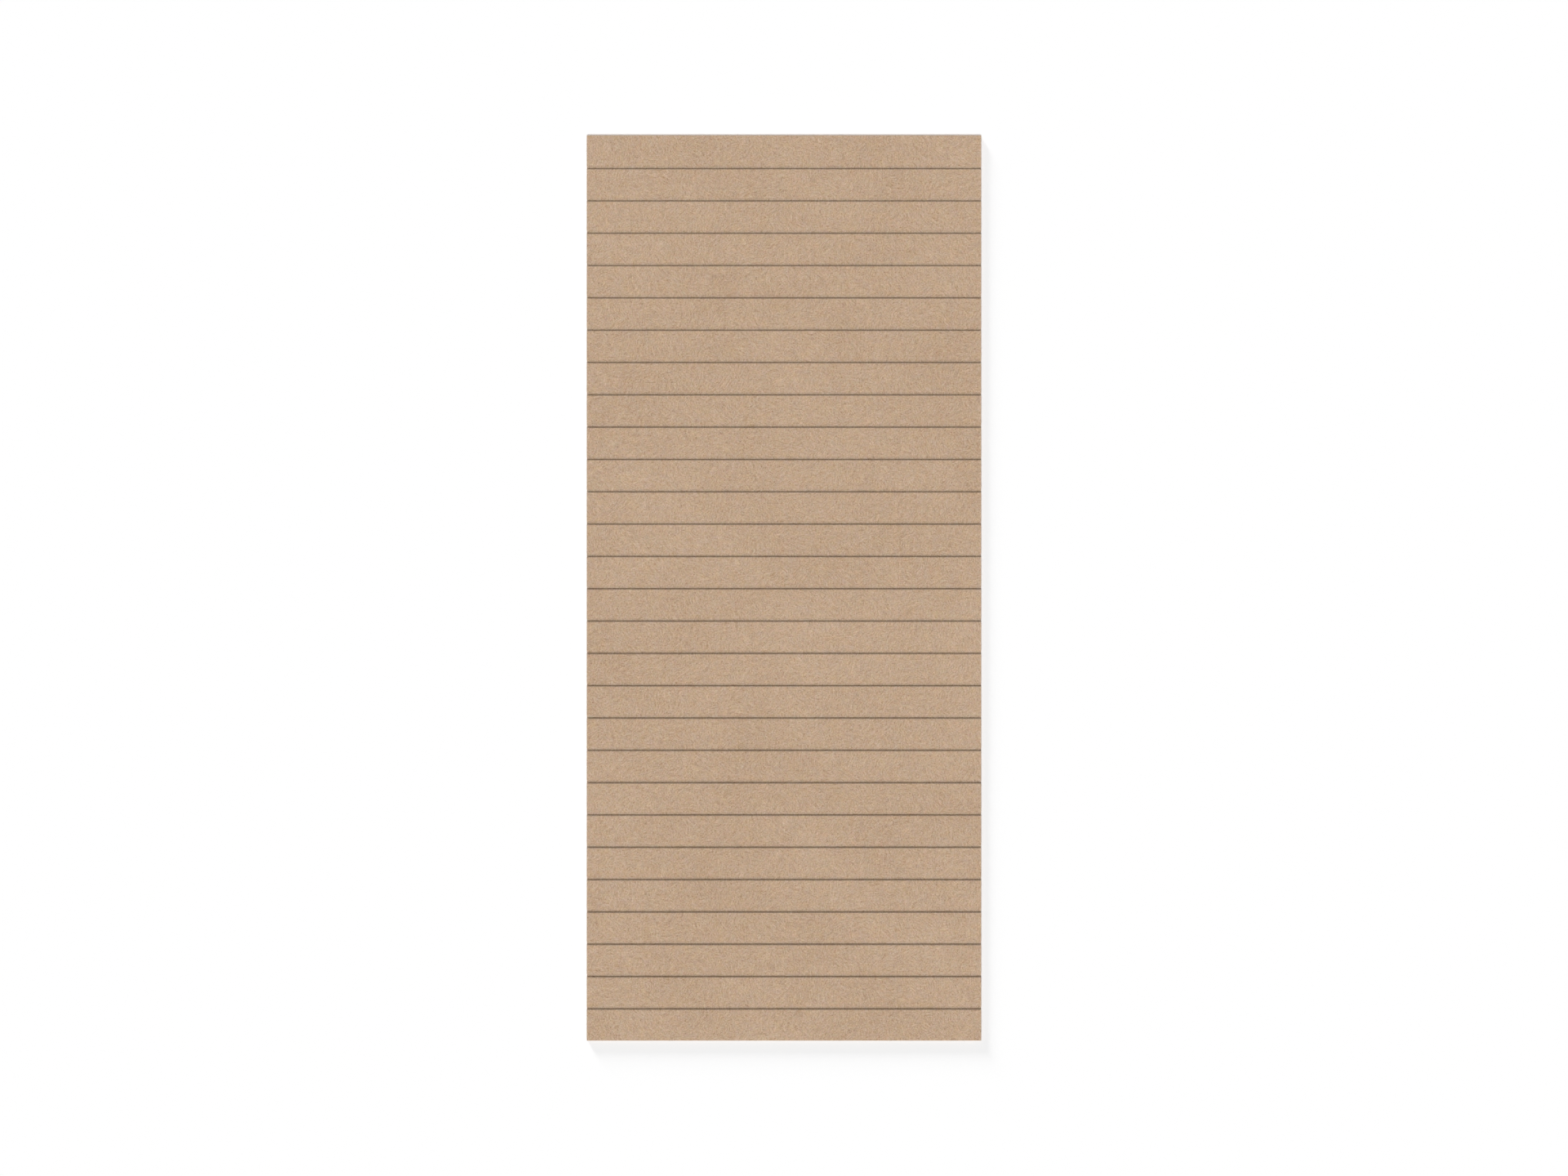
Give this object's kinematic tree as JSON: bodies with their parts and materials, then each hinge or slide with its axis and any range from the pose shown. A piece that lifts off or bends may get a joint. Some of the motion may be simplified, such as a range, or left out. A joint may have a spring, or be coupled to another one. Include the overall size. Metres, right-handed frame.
{
  "type": "acoustic panel",
  "caption": "Wall-lining sheet of pressed felt with evenly spaced V-grooves cut straight across its face, for damping sound in a room.",
  "frame": {"origin": "middle of the back face, which lies on the floor", "axes": "+Y up the length of the hung panel, +X across its width, +Z out of its grooved face"},
  "size_m": [1.22, 2.8, 0.012],
  "materials": {
    "felt": "pressed polyester-fibre felt, tan, matt and fibrous"
  },
  "bodies": {
    "root": {"grooved_panel": "felt"}
  },
  "joints": []
}
